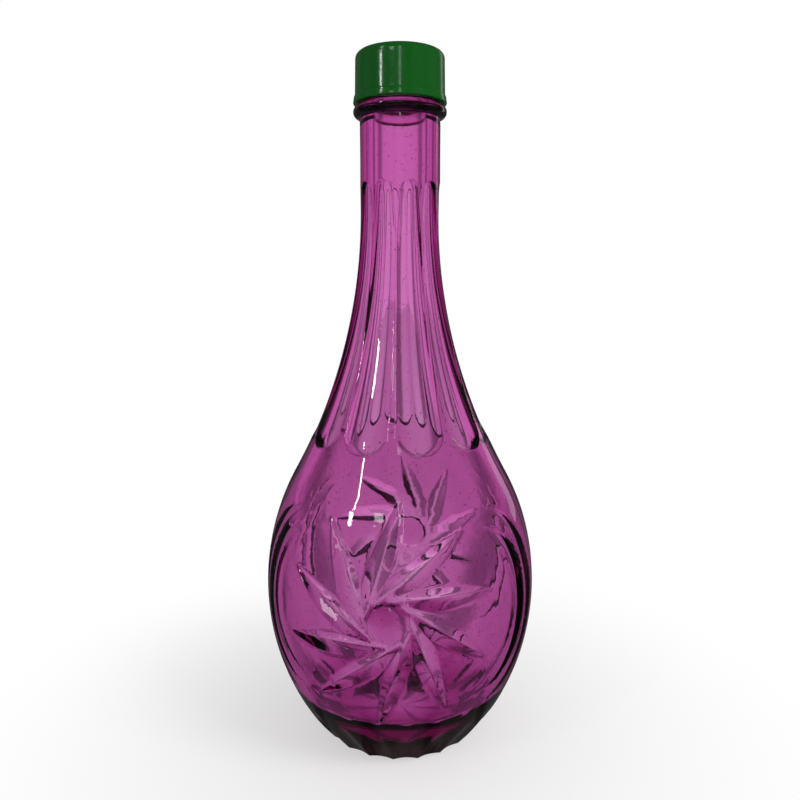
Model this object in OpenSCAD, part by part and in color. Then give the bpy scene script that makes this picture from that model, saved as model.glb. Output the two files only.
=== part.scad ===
// Fluted glass bottle with a moulded pinwheel star on its front and back,
// closed by a plastic screw cap that holds a soft sealing liner.
// Millimetres, +Z up, origin at the centre of the standing ring, star facing -Y.

/* [Glass body] */
// Height of the glass from the standing ring to the lip
glass_h = 245; // [225:1:265]
// Largest diameter of the belly
body_d = 100; // [92:1:108]
// Height of the largest diameter above the table
belly_z = 58; // [54:1:62]
// Radius of the belly's curve, seen from the side
belly_curve_r = 89; // [84:1:96]
// Outer diameter of the straight neck
neck_d = 28.2; // [27:0.2:30]
// Length of the straight neck, from the shoulder's curve to the bead
neck_len = 29; // [22:1:36]
// Wall of the belly
wall_t = 4.8; // [4:0.1:5.5]
// Glass thickness at the middle of the base
base_t = 8; // [6:0.5:11]
// Bore of the neck and mouth
bore_d = 18; // [15:0.5:19.5]
// Radius of the bowl-shaped floor inside
floor_curve_r = 60; // [50:1:80]
// Diameter of the hollow under the base
kick_d = 44; // [36:1:48]
// Depth of the hollow under the base
kick_h = 2.5; // [1:0.5:4]

/* [Finish] */
// Height of the finish, from the bead's top to the lip
finish_h = 14.6; // [12:0.2:17]
// Diameter of the finish between its threads
finish_d = 25.2; // [24:0.1:26]
// Diameter over the threads, which the cap has to clear
thread_d = 27.4; // [26.6:0.1:28]
// Rounding of the lip
lip_r = 1.2; // [0.6:0.1:1.8]
// Outer diameter of the bead under the cap
bead_d = 32.8; // [31:0.2:35]
// Height of the bead
bead_h = 4.2; // [3.4:0.2:5]

/* [Neck flutes] */
// Number of flutes round the neck and shoulder
flute_count = 10; // [9:1:12]
// Lower end of the flutes, above the table
flute_low_z = 112; // [108:1:120]
// Distance from the flutes' upper ends to the bead
flute_top_gap = 22; // [14:1:26]
// Width of the rib left between two flutes
rib_w = 2.4; // [1.6:0.2:4]
// Depth of a flute at the neck
flute_depth = 1; // [0.6:0.1:1.4]
// Depth of a flute at the shoulder, measured level
flute_low_depth = 2.4; // [1.6:0.1:2.8]
// Radius of a flute's hollow, seen from above
flute_curve_r = 30; // [24:1:40]

/* [Star] */
// Number of rays in each star
ray_count = 10; // [8:1:12]
// Radius from the star's centre to its tips
star_r = 38; // [34:1:40]
// Height of the star's centre above the table
star_z = 61; // [58:1:63]
// Turn of the first ray above the level
ray_turn = 13; // [0:1:35]
// Depth of a ray's spine
ray_depth = 2.4; // [1.4:0.1:2.6]
// How far a ray runs on past the button
ray_overrun = 7; // [4:0.5:10]
// Slope of a ray's two sides, from upright
ray_slope = 58; // [48:1:66]
// Diameter of the circle that the rays' spines touch
ring_d = 16; // [14.4:0.2:19]
// Diameter of the button in the middle of the star
hub_d = 13; // [11:0.2:14]
// How far the button stands proud of the belly
hub_rise = 0.9; // [0.4:0.1:1.6]
// Radius of the button's dome
hub_dome_r = 18; // [14:1:30]

/* [Side leaves] */
// Depth of the long leaf cuts that frame a star
leaf_depth = 1.4; // [0.8:0.1:1.8]
// Turn of the inner leaf's middle from the star's centre line
leaf_turn = 62; // [58:1:64]
// Turn of a leaf's ends from the star's centre line
leaf_end_turn = 43; // [38:1:46]
// Turn from the inner leaf to the outer one
leaf_step = 9; // [7:0.5:10]
// Reach of the inner leaf above and below the star's centre
leaf_reach = 29; // [24:1:31]
// How much further the outer leaf reaches
leaf_extra = 6; // [2:1:7]
// Slope of a leaf's two sides, from upright
leaf_slope = 60; // [50:1:68]

/* [Heel scallops] */
// Number of scallops round the heel
scallop_count = 20; // [16:1:24]
// Radius of a scallop's hollow
scallop_curve_r = 12; // [9:0.5:15]
// Depth of a scallop at the table, measured level
scallop_depth = 1.4; // [0.8:0.1:1.8]
// Upper end of the scallops above the table
scallop_top_z = 16; // [12:1:20]

/* [Screw cap] */
// Diameter of the cap at its top
cap_d = 31; // [30.4:0.1:32]
// How much wider the skirt is at its foot
cap_taper = 0.5; // [0:0.1:0.8]
// Thickness of the cap's top
cap_top_t = 1.7; // [1.2:0.1:2.4]
// Rounding of the cap's top edge
cap_edge_r = 0.6; // [0.3:0.1:1]
// Diameter of the band round the cap's foot
band_d = 32.9; // [32.9:0.1:35]
// Height of the band
band_h = 2.3; // [1.6:0.1:3.5]
// Height of the slope above the band
band_slope_h = 0.6; // [0.3:0.1:1]
// Gap between the cap's foot and the bead
foot_gap = 0.5; // [0.3:0.1:1]
// Gap between the threads and the inside of the skirt
thread_gap = 0.3; // [0.2:0.1:0.5]

/* [Liner] */
// Thickness of the sealing liner
liner_t = 1.3; // [0.8:0.1:2]
// Gap round the liner in the cap
liner_gap = 0.2; // [0.1:0.05:0.3]

/* [Hidden] */
$fn = 120;

over = 1;                                   // how far a cutter runs past a face
cut_reach = 7;                              // height of a V cutter above its spine
least_bow = 0.3;                            // a spine is never quite straight

body_r = body_d / 2;
neck_r = neck_d / 2;
bore_r = bore_d / 2;
bead_r = bead_d / 2;
hub_r = hub_d / 2;
ring_r = ring_d / 2;

bead_top_z = glass_h - finish_h;
bead_z = bead_top_z - bead_h;
shoulder_z = bead_z - neck_len;             // where the shoulder's curve meets the neck
flute_top_z = bead_z - flute_top_gap;
cap_foot_z = bead_top_z + foot_gap;
cap_under_z = glass_h + liner_t;            // underside of the cap's top
cap_top_z = cap_under_z + cap_top_t;
skirt_bore_r = thread_d / 2 + thread_gap;

function unit(v) = v / norm(v);

// The belly is an arc and the shoulder is an arc that touches it: radius of the second
function shoulder_curve(belly, neck, curve) =
    let (across = neck - belly + curve, up = shoulder_z - belly_z)
    (across * across + up * up - curve * curve) / (2 * (curve - across));

// Where the two arcs touch, as [radius, height]
function touch(belly, neck, curve) =
    let (high = shoulder_curve(belly, neck, curve), share = curve / (curve + high))
    [belly - curve + share * (neck + high - belly + curve),
     belly_z + share * (shoulder_z - belly_z)];

// Outer radius of the belly and of the shoulder at a height
function belly_at(z) =
    body_r - belly_curve_r + sqrt(pow(belly_curve_r, 2) - pow(z - belly_z, 2));
function shoulder_at(z) =
    let (curve = shoulder_curve(body_r, neck_r, belly_curve_r))
    neck_r + curve - sqrt(curve * curve - pow(shoulder_z - z, 2));

// A point on the belly, turned from the front, and the way the glass faces there
function on_belly(turn, z) =
    [belly_at(z) * sin(turn), -belly_at(z) * cos(turn), z];
function belly_normal(turn, z) =
    let (tilt = asin((z - belly_z) / belly_curve_r))
    [cos(tilt) * sin(turn), -cos(tilt) * cos(turn), sin(tilt)];

// Half of a side view: belly, shoulder and neck between two heights
module side_view(belly, neck, curve, low_z, top_z) {
    join = touch(belly, neck, curve);
    high = shoulder_curve(belly, neck, curve);
    intersection() {
        translate([belly - curve, belly_z]) circle(r = curve, $fn = 360);
        translate([0, low_z]) square([belly + over, join[1] - low_z]);
    }
    difference() {
        translate([0, join[1]]) square([join[0], shoulder_z - join[1]]);
        translate([neck + high, shoulder_z]) circle(r = high, $fn = 720);
    }
    translate([0, shoulder_z]) square([neck, top_z - shoulder_z]);
}

// A square-cut post in the side view with its top outer corner rounded
module rounded_post(outer, low_z, top_z, round_r) {
    translate([0, low_z]) square([outer - round_r, top_z - low_z]);
    translate([0, low_z]) square([outer, top_z - round_r - low_z]);
    translate([outer - round_r, top_z - round_r]) circle(r = round_r);
}

module outside() {
    rotate_extrude($fn = 180) {
        side_view(body_r, neck_r, belly_curve_r, 0, bead_top_z - bead_h / 2);
        translate([0, bead_z]) square([bead_r - bead_h / 2, bead_h]);
        translate([bead_r - bead_h / 2, bead_z + bead_h / 2]) circle(d = bead_h);
        rounded_post(finish_d / 2, bead_top_z - over, glass_h, lip_r);
    }
}

// The hollow inside, with a bowl-shaped floor
module inside() {
    rotate_extrude($fn = 180) intersection() {
        side_view(body_r - wall_t, bore_r, belly_curve_r - wall_t, base_t, glass_h + over);
        union() {
            translate([0, base_t + floor_curve_r]) circle(r = floor_curve_r, $fn = 360);
            translate([0, base_t + floor_curve_r]) square([body_d, glass_h]);
        }
    }
}

// The hollow under the base that leaves a ring to stand on
module kick() {
    dome_r = (pow(kick_d / 2, 2) + kick_h * kick_h) / (2 * kick_h);
    translate([0, 0, kick_h - dome_r]) sphere(r = dome_r, $fn = 360);
}

// One flute: a ring-shaped hollow that follows the shoulder, kept to a tongue
module flute() {
    half = 180 / flute_count;
    low_r = shoulder_at(flute_low_z);
    low_w = low_r * sin(half) - rib_w / 2;
    top_w = neck_r * sin(half) - rib_w / 2;
    rise = low_r - flute_low_depth - (neck_r - flute_depth);
    drop = shoulder_z - flute_low_z;
    sweep_r = (drop * drop + rise * rise) / (2 * rise);
    low = flute_low_z + low_w;
    top = flute_top_z - top_w;
    intersection() {
        translate([0, -(neck_r - flute_depth + sweep_r), shoulder_z]) rotate([0, 90, 0])
            rotate_extrude($fn = 720) translate([sweep_r - flute_curve_r, 0])
                circle(r = flute_curve_r, $fn = 180);
        rotate([90, 0, 0]) linear_extrude(height = body_r) {
            translate([0, low]) circle(r = low_w);
            translate([0, top]) circle(r = top_w);
            polygon([[-low_w, low], [low_w, low], [top_w, top], [-top_w, top]]);
        }
    }
}

// A V-shaped cut whose spine is the arc through three points
module mitre(start, middle, end, normal, slope) {
    chord = end - start;
    along = unit(chord);
    bow = middle - start - along * ((middle - start) * along);
    up = unit(bow);
    axis = cross(up, along);
    curve = (pow(norm(chord) / 2, 2) + bow * bow) / (2 * norm(bow));
    hub = (start + end) / 2 + bow - up * curve;
    lean = atan2(normal * axis, normal * up);
    sweep = asin(norm(chord) / 2 / curve) * 1.12;
    multmatrix([for (i = [0:2]) [up[i], along[i], axis[i], hub[i]]])
        rotate([0, 0, -sweep]) rotate_extrude(angle = 2 * sweep, $fn = 360)
            polygon([[curve, 0],
                     [curve + cut_reach * cos(lean + slope), cut_reach * sin(lean + slope)],
                     [curve + cut_reach * cos(lean - slope), cut_reach * sin(lean - slope)]]);
}

// A place in the star, measured along the glass from its centre
function in_star(p) = on_belly(p[0] / belly_at(star_z + p[1]) * 180 / PI, star_z + p[1]);
function star_normal(p) = belly_normal(p[0] / belly_at(star_z + p[1]) * 180 / PI, star_z + p[1]);

// One ray: it passes the button closely and runs out to a sharp tip
module ray(turn) {
    tip = star_r * [cos(turn), sin(turn)];
    lean = acos(ring_r / star_r);
    side = ring_r * [cos(turn + lean), sin(turn + lean)];
    inner = side - ray_overrun * unit(tip - side);
    mid = (inner + tip) / 2;
    chord_mid = (in_star(inner) + in_star(tip)) / 2;
    facing = star_normal(mid);
    bow = (in_star(mid) - chord_mid) * facing - ray_depth;
    kept_bow = abs(bow) < least_bow ? least_bow : bow;
    mitre(in_star(inner), chord_mid + facing * kept_bow, in_star(tip), facing, ray_slope);
}

// One of the two leaf cuts at a star's right side
module leaf(nth) {
    reach = leaf_reach + nth * leaf_extra;
    middle = on_belly(leaf_turn + nth * leaf_step, star_z);
    facing = belly_normal(leaf_turn + nth * leaf_step, star_z);
    mitre(on_belly(leaf_end_turn, star_z - reach), middle - leaf_depth * facing,
          on_belly(leaf_end_turn, star_z + reach), facing, leaf_slope);
}

module star_panel() {
    for (i = [0:ray_count - 1]) ray(ray_turn + i * 360 / ray_count);
    for (nth = [0:1]) {
        leaf(nth);
        mirror([1, 0, 0]) leaf(nth);
    }
}

// The domed button in the middle of a star
module button() {
    crown = belly_at(star_z) + hub_rise;
    intersection() {
        translate([0, -belly_at(star_z) + wall_t / 2, star_z]) rotate([90, 0, 0])
            cylinder(r = hub_r, h = wall_t + hub_rise);
        translate([0, hub_dome_r - crown, star_z]) sphere(r = hub_dome_r);
    }
}

// A scoop up the heel, from the table to where the belly comes out through it
module scallop() {
    low = [belly_at(0) - scallop_depth, 0];
    high = [belly_at(scallop_top_z), scallop_top_z];
    tilt = atan2(high[0] - low[0], high[1] - low[1]);
    out = scallop_curve_r * [cos(tilt), -sin(tilt)];
    translate([low[0] + out[0], 0, out[1]]) rotate([0, tilt, 0])
        cylinder(r = scallop_curve_r, h = 4 * scallop_top_z, center = true);
}

module glass_bottle() color("mediumvioletred", 0.55) {
    difference() {
        outside();
        inside();
        kick();
        for (i = [0:flute_count - 1]) rotate([0, 0, (i + 0.5) * 360 / flute_count]) flute();
        for (side = [0, 180]) rotate([0, 0, side]) star_panel();
        for (i = [0:scallop_count - 1]) rotate([0, 0, (i + 0.5) * 360 / scallop_count]) scallop();
    }
    for (side = [0, 180]) rotate([0, 0, side]) button();
}

module cap_liner() color("ivory") {
    translate([0, 0, glass_h]) cylinder(r = skirt_bore_r - liner_gap, h = liner_t);
}

module screw_cap() color("darkgreen") {
    top_r = cap_d / 2;
    foot_r = top_r + cap_taper / 2;
    band_r = band_d / 2;
    band_z = cap_foot_z + band_h;
    difference() {
        rotate_extrude() {
            polygon([[0, cap_foot_z], [band_r, cap_foot_z], [band_r, band_z],
                     [foot_r, band_z + band_slope_h], [top_r, cap_top_z - cap_edge_r],
                     [0, cap_top_z - cap_edge_r]]);
            rounded_post(top_r, band_z, cap_top_z, cap_edge_r);
        }
        translate([0, 0, cap_foot_z - over])
            cylinder(r = skirt_bore_r, h = cap_under_z - cap_foot_z + over);
    }
}

glass_bottle();
cap_liner();
screw_cap();
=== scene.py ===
import bmesh
import bpy
import itertools
import math
import numpy as np
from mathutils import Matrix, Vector, geometry, noise


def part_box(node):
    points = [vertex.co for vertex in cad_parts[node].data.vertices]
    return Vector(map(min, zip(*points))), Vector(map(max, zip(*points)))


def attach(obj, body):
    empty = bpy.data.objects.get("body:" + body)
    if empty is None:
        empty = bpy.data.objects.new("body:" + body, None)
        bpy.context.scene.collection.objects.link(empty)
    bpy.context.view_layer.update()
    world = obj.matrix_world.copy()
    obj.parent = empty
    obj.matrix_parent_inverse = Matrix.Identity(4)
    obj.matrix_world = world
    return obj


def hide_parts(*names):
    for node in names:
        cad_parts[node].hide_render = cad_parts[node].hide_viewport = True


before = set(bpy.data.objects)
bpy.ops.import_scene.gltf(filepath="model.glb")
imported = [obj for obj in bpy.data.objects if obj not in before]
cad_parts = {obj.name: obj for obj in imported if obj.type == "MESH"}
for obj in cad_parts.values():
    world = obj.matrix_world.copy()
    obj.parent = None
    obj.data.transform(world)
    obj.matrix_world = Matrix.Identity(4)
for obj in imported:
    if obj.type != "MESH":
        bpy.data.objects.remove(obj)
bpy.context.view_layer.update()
mm = 0.001  # sizes below are in millimetres and angles in degrees, unless a note says otherwise

glassHigh = np.array(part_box("glass_bottle")[1]) / mm
capLow, capHigh = (np.array(corner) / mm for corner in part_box("screw_cap"))
linerLow, linerHigh = (np.array(corner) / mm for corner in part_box("cap_liner"))


def linearColour(hexCode):
    # an sRGB hex value as linear light, opaque
    channels = [int(hexCode[i:i + 2], 16) / 255 for i in (1, 3, 5)]
    linear = [c / 12.92 if c <= 0.04045 else ((c + 0.055) / 1.055) ** 2.4 for c in channels]
    return (*linear, 1.0)


def addNode(tree, kind, inputs=(), **settings):
    # adds a node and gives its outputs; inputs go by name or number, or as a list in the node's own
    # order, and a list as one of them is several links
    node = tree.nodes.new(kind)
    for name, value in settings.items():
        setattr(node, name, value)
    for name, value in (inputs if isinstance(inputs, dict) else dict(enumerate(inputs))).items():
        for item in value if isinstance(value, list) else [value]:
            if isinstance(item, bpy.types.NodeSocket):
                tree.links.new(item, node.inputs[name])
            else:
                node.inputs[name].default_value = item
    return node.outputs


def newMaterial(name):
    # an empty material, its tree and the object's own coordinates
    material = bpy.data.materials.new(name)
    material.use_nodes = True
    tree = material.node_tree
    tree.nodes.clear()
    return material, tree, addNode(tree, "ShaderNodeTexCoord")["Object"]


def newTree(name, inputs):
    # a Geometry Nodes tree with one geometry in, one out and the named inputs
    tree = bpy.data.node_groups.new(name, "GeometryNodeTree")
    tree.interface.new_socket("Geometry", in_out="INPUT", socket_type="NodeSocketGeometry")
    for label, kind in inputs.items():
        tree.interface.new_socket(label, in_out="INPUT", socket_type="NodeSocket" + kind)
    tree.interface.new_socket("Geometry", in_out="OUTPUT", socket_type="NodeSocketGeometry")
    return tree, addNode(tree, "NodeGroupInput")


def finishTree(tree, result, material):
    # every tree ends the same way: real mesh, smooth, one material
    whole = addNode(tree, "GeometryNodeRealizeInstances", [result])[0]
    smooth = addNode(tree, "GeometryNodeSetShadeSmooth", [whole])[0]
    coated = addNode(tree, "GeometryNodeSetMaterial", {"Geometry": smooth, "Material": material})[0]
    addNode(tree, "NodeGroupOutput", [coated])


def runTree(name, start, tree, values):
    # gives start's mesh to the tree and keeps what comes out as a plain mesh object
    piece = bpy.data.objects.new(name, start)
    bpy.context.scene.collection.objects.link(piece)
    modifier = piece.modifiers.new(name, "NODES")
    modifier.node_group = tree
    for socket in tree.interface.items_tree:
        if socket.in_out == "INPUT" and socket.name in values:
            modifier[socket.identifier] = values[socket.name]
    graph = bpy.context.evaluated_depsgraph_get()
    result = bpy.data.meshes.new_from_object(piece.evaluated_get(graph), depsgraph=graph)
    piece.modifiers.clear()
    piece.data = result
    result.polygons.foreach_set("material_index", [0] * len(result.polygons))
    result.materials.clear()
    result.materials.append(values["Material"])
    return piece


def profileMesh(name, points):
    # a line of [radius, height] points as a mesh of edges, in metres
    mesh = bpy.data.meshes.new(name)
    verts = [(r * mm, 0, z * mm) for r, z in points]
    mesh.from_pydata(verts, [(i, i + 1) for i in range(len(verts) - 1)], [])
    return mesh


def arcPoints(centre, radius, start, end, steps):
    # points on a circle in the side view, angles from level, both ends included
    return [(centre[0] + radius * math.cos(math.radians(a)), centre[1] + radius * math.sin(math.radians(a)))
            for a in np.linspace(start, end, steps)]


def roundCorners(points, radii, steps):
    # each corner between two straight lines becomes an arc of its own radius
    result = [points[0]]
    for before, corner, after, radius in zip(points, points[1:], points[2:], radii):
        a, b, c = (np.array(p, float) for p in (before, corner, after))
        toA, toC = (a - b) / np.linalg.norm(a - b), (c - b) / np.linalg.norm(c - b)
        half = math.acos(np.clip(toA @ toC, -1, 1)) / 2
        middle = b + (toA + toC) / np.linalg.norm(toA + toC) * radius / math.sin(half)
        first, last = b + toA * radius / math.tan(half), b + toC * radius / math.tan(half)
        for share in np.linspace(0, 1, steps):
            spoke = (first - middle) * (1 - share) + (last - middle) * share
            result.append(tuple(middle + spoke / np.linalg.norm(spoke) * radius))
    return result + [points[-1]]


def spaced(points, step):
    # the same line with extra points, so that none is further than step from the next
    result = [points[0]]
    for a, b in zip(points, points[1:]):
        count = max(1, math.ceil(math.dist(a, b) / step))
        result += [tuple(np.array(a) + (np.array(b) - np.array(a)) * i / count) for i in range(1, count + 1)]
    return result


def smoothStep(low, high, value):
    t = np.clip((value - low) / (high - low), 0, 1)
    return t * t * (3 - 2 * t)


def softMax(a, b, blend):
    # the larger of the two, with the crease between them eased
    return (a + b + np.sqrt((a - b) ** 2 + blend ** 2)) / 2


def vCut(spine, off, cut):
    # depth of a V cut at a distance off its spine, with the bottom of the V eased
    return spine - (np.hypot(off, cut["edge"]) - cut["edge"]) / math.tan(math.radians(cut["slope"]))


def closeRate(radius, curve):
    # how fast a round hollow and the round skin close on each other, for each square millimetre across
    return 0.5 / radius + 0.5 / curve


def wrapTurn(turn):
    # the same turn between half round to the left and half round to the right
    return (turn + math.pi) % (2 * math.pi) - math.pi


def place(turn, radius, z):
    # turn 0 is the front, and turns grow to the right
    return np.stack([radius * np.sin(turn), -radius * np.cos(turn), z], -1)


bottle = {
    "height": glassHigh[2], "bodyR": glassHigh[0], "bellyZ": 58, "bellyCurve": 89, "wall": 4.8,
    "neckR": 14.1, "neckLen": 29, "boreR": 9, "boreRound": 0.9, "finishR": 12.6, "lipR": 1.2,
    "baseThick": 8, "floorCurve": 60, "kickR": 22, "kickH": 2.5, "kickRound": 0.8, "heelRound": 0.7,
    "heelFoot": ((1.7, 0), (0.5, 0.2)),  # in from the heel, and up
    "beadTopZ": 230.4, "beadH": 4.2, "beadR": 16.4, "beadGap": 0.6, "beadFillet": 0.4,
    "neckFillet": ((0, -0.4), (0.08, -0.12), (0.3, 0)),  # out from the neck, and up from the bead's foot
    "seamHigh": 0.12, "seamWide": 0.55, "seamFoot": 3, "seamTop": 2, "ripple": 0.05, "rippleWave": 17,
    "innerRipple": 0.3, "innerWave": 26, "innerZ": (200, 120), "innerR": (2, 14),  # inside it fades in here
}
flutes = {"count": 10, "lowZ": 112, "topGap": 22, "rib": 2.4, "depth": 1, "lowDepth": 2.4, "curve": 30,
          "wallWidth": 0.8, "ease": 0.15, "settle": 0.04, "margin": 2}
star = {"rays": 10, "radius": 38, "z": 61, "turn": 13, "depth": 2.4, "overrun": 7, "slope": 58, "ring": 8,
        "hub": 6.5, "hubIn": 0.3, "hubOut": 0.8, "rise": 0.9, "dome": 18, "edge": 0.16, "fade": (1, 3)}
leaves = {"depth": 1.4, "turn": 62, "endTurn": 43, "step": 9, "reach": 29, "extra": 6, "slope": 60,
          "edge": 0.2, "lift": 0.5, "clear": 2}
scallops = {"count": 20, "curve": 12, "depth": 1.4, "topZ": 16, "ease": 0.2, "settle": 0.05, "over": 4,
            "footZ": 0.5, "underR": (22.5, 27)}  # under the base they fade in between these radii
thread = {"pitch": 4.2333, "startZ": 234.4, "turns": 1.5, "high": 1.1, "halfWidth": 1.15, "flat": 0.35,
          "fade": 50}
net = {  # how finely the glass is drawn: spacings, counts and shares of a spacing
    "columns": 120, "mapRows": 6000, "cell": 1.2, "fill": 1.06, "fillRow": 0.87, "fillGap": 0.66,
    "line": 0.6, "lineTurns": 721, "lineGap": 0.85, "bevel": 0.25,  # bevel is beside both sides of a crease
    "fluteFoot": 0.55, "fluteSide": 140, "fluteTop": 0.5, "fluteOut": 0.3, "ends": (0.1, 0.2),
    "seamRow": 0.9, "seamLeast": 0.4, "seamShares": (0, 0.5, 1.05), "sideGap": 0.002,  # in radians
    "kickRows": 12, "threadRow": 0.4, "innerRow": 2.2, "innerEnds": 3, "floorRows": 18, "floorStep": 2.5,
    "merge": 0.004,
}
noCut = -9.0  # a depth far above the skin
everyLeaf = list(itertools.product((0, 1), (-1, 1)))  # inner and outer leaf, on both sides of the star

beadZ = bottle["beadTopZ"] - bottle["beadH"]
shoulderZ = beadZ - bottle["neckLen"]
skinLow, skinTop = bottle["heelRound"], beadZ - bottle["beadGap"]


def sideView(z, belly, neck, curve):
    # radius at height z of a belly arc, the shoulder arc that touches it, and the neck
    across, up = neck - belly + curve, shoulderZ - bottle["bellyZ"]
    high = (across ** 2 + up ** 2 - curve ** 2) / (2 * (curve - across))
    joinZ = bottle["bellyZ"] + up * curve / (curve + high)
    bellyPart = belly - curve + np.sqrt(np.clip(curve ** 2 - (z - bottle["bellyZ"]) ** 2, 0, None))
    shoulderPart = neck + high - np.sqrt(high ** 2 - np.clip(shoulderZ - z, 0, high) ** 2)
    return np.where(z < joinZ, bellyPart, np.where(z < shoulderZ, shoulderPart, neck))


def outerRadius(z):
    return sideView(z, bottle["bodyR"], bottle["neckR"], bottle["bellyCurve"])


def radiusAt(z):
    return float(outerRadius(np.array(float(z))))


def innerRadius(z):
    wall = bottle["wall"]
    return sideView(z, bottle["bodyR"] - wall, bottle["boreR"], bottle["bellyCurve"] - wall)


# the skin is laid out flat on a map that keeps angles, with the turn across and the rise up
mapZ = np.linspace(skinLow, skinTop, net["mapRows"])
mapR = outerRadius(mapZ)
mapSlope = np.gradient(mapR, mapZ)
mapStep = np.hypot(np.diff(mapZ), np.diff(mapR)) * 2 / (mapR[1:] + mapR[:-1])
mapRise = np.concatenate([[0], np.cumsum(mapStep)])

# the rays' spines touch a ring round the button: the lean of a tip, a spine's length and its arc
tipLean = math.acos(star["ring"] / star["radius"])
rayReach = math.sqrt(star["radius"] ** 2 - star["ring"] ** 2)
arcMiddle, arcHalf = (rayReach - star["overrun"]) / 2, (rayReach + star["overrun"]) / 2
rayStep = 2 * math.pi / star["rays"]


def rayDepth(x, y):
    # depth of the rays' V cuts at a place in the star, below 0 where there is no cut
    total = np.full(np.shape(x), noCut)
    for i in range(star["rays"]):
        side = math.radians(star["turn"] + i * 360 / star["rays"]) + tipLean
        off = x * math.cos(side) + y * math.sin(side) - star["ring"]
        along = x * math.sin(side) - y * math.cos(side)
        spine = star["depth"] * (1 - np.clip((along - arcMiddle) / arcHalf, -3, 3) ** 2)
        total = softMax(total, vCut(spine, off, star), star["edge"] / 2)
    return total


def starDepth(turn, z):
    # the rays, with the domed button in their middle
    x, y = turn * outerRadius(z), z - star["z"]
    away = np.hypot(x, y)
    rays = softMax(rayDepth(x, y), 0, star["edge"] / 2) - star["edge"] / 4
    dome = away ** 2 / (2 * star["dome"]) - star["rise"]
    inside = 1 - smoothStep(star["hub"] - star["hubIn"], star["hub"] + star["hubOut"], away)
    outside = smoothStep(star["radius"] + star["fade"][0], star["radius"] + star["fade"][1], away)
    return (dome * inside + rays * (1 - inside)) * (1 - outside)


def leafSpine(nth, side):
    # the upright plane that holds a leaf's spine: its normal and offset, and how far the leaf reaches
    reach = leaves["reach"] + nth * leaves["extra"]
    ends = leaves["endTurn"]
    places = [(ends, -reach), (leaves["turn"] + nth * leaves["step"], 0), (ends, reach)]
    start, middle, end = (place(side * math.radians(turn), outerRadius(star["z"] + up), star["z"] + up)
                          for turn, up in places)
    normal = np.cross(end - start, middle - start)
    return normal, normal @ start, reach


def leafTurn(z, nth, side):
    # turn at which the spine's plane meets the belly at height z
    normal, offset, _ = leafSpine(nth, side)
    size, phase = math.hypot(normal[0], normal[1]), math.atan2(normal[1], normal[0])
    swing = np.arcsin(np.clip((offset - normal[2] * z) / (outerRadius(z) * size), -1, 1))
    first, second = wrapTurn(phase + swing), wrapTurn(phase + math.pi - swing)
    wanted = side * math.radians(leaves["turn"])
    return np.where(abs(wrapTurn(first - wanted)) < abs(wrapTurn(second - wanted)), first, second)


def leafProfile(z, nth, side):
    # spine's depth and its lean on the map at height z
    _, _, reach = leafSpine(nth, side)
    spine = leaves["depth"] * (1 - np.clip((z - star["z"]) / reach, -2, 2) ** 2)
    step = 0.2  # half the height over which the lean is taken
    run = (leafTurn(z + step, nth, side) - leafTurn(z - step, nth, side)) * outerRadius(z) / (2 * step)
    return spine, 1 / np.hypot(1, run)


def leafDepth(turn, z):
    total = np.full(np.shape(turn), noCut)
    for nth, side in everyLeaf:
        spine, lean = leafProfile(z, nth, side)
        off = (turn - leafTurn(z, nth, side)) * outerRadius(z) * lean
        total = np.maximum(total, np.where(spine > -leaves["lift"], vCut(spine, off, leaves), noCut))
    eased = softMax(total, 0, leaves["edge"] / 2) - leaves["edge"] / 4
    return np.where(total < -leaves["clear"], 0, eased)


fluteTop = beadZ - flutes["topGap"]
fluteHalf = math.pi / flutes["count"]
fluteLowR = radiusAt(flutes["lowZ"])
fluteLowW = fluteLowR * math.sin(fluteHalf) - flutes["rib"] / 2
fluteTopW = bottle["neckR"] * math.sin(fluteHalf) - flutes["rib"] / 2
fluteLowC, fluteTopC = flutes["lowZ"] + fluteLowW, fluteTop - fluteTopW


def fluteHollow(z):
    # how deep the middle of a flute lies, measured level
    rise = fluteLowR - flutes["lowDepth"] - (bottle["neckR"] - flutes["depth"])
    drop = shoulderZ - flutes["lowZ"]
    sweep = (drop ** 2 + rise ** 2) / (2 * rise)
    deep = bottle["neckR"] - flutes["depth"] + sweep - np.sqrt(sweep ** 2 - (shoulderZ - z) ** 2)
    return outerRadius(z) - deep


def fluteInside(x, z):
    # distance inside a flute's tongue-shaped outline, seen from the front of the flute
    share = np.clip((z - fluteLowC) / (fluteTopC - fluteLowC), 0, 1)
    width = fluteLowW + (fluteTopW - fluteLowW) * share
    centre = fluteLowC + (fluteTopC - fluteLowC) * share
    return width - np.hypot(x, z - centre)


def fluteDepth(turn, z):
    radius = outerRadius(z)
    x = radius * np.sin(turn % (2 * fluteHalf) - fluteHalf)
    hollow = fluteHollow(np.clip(z, flutes["lowZ"] - flutes["margin"], fluteTop + flutes["margin"]))
    cut = hollow - x ** 2 * closeRate(radius, flutes["curve"])
    wall = smoothStep(0, flutes["wallWidth"], fluteInside(x, z))
    return wall * np.clip(softMax(cut, 0, flutes["ease"]) - flutes["settle"], 0, None)


def scallopHollow(z):
    # how deep the middle of a scallop lies, measured level
    low, high = radiusAt(0) - scallops["depth"], radiusAt(scallops["topZ"])
    return outerRadius(z) - (low + (high - low) * z / scallops["topZ"])


def scallopDepth(turn, z):
    step = 2 * math.pi / scallops["count"]
    radius = outerRadius(z)
    across = radius * (turn % step - step / 2)
    cut = scallopHollow(z) - across ** 2 * closeRate(radius, scallops["curve"])
    eased = softMax(cut, 0, scallops["ease"]) - scallops["settle"]
    return np.where(z < scallops["topZ"] + scallops["over"], eased, 0)


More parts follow.
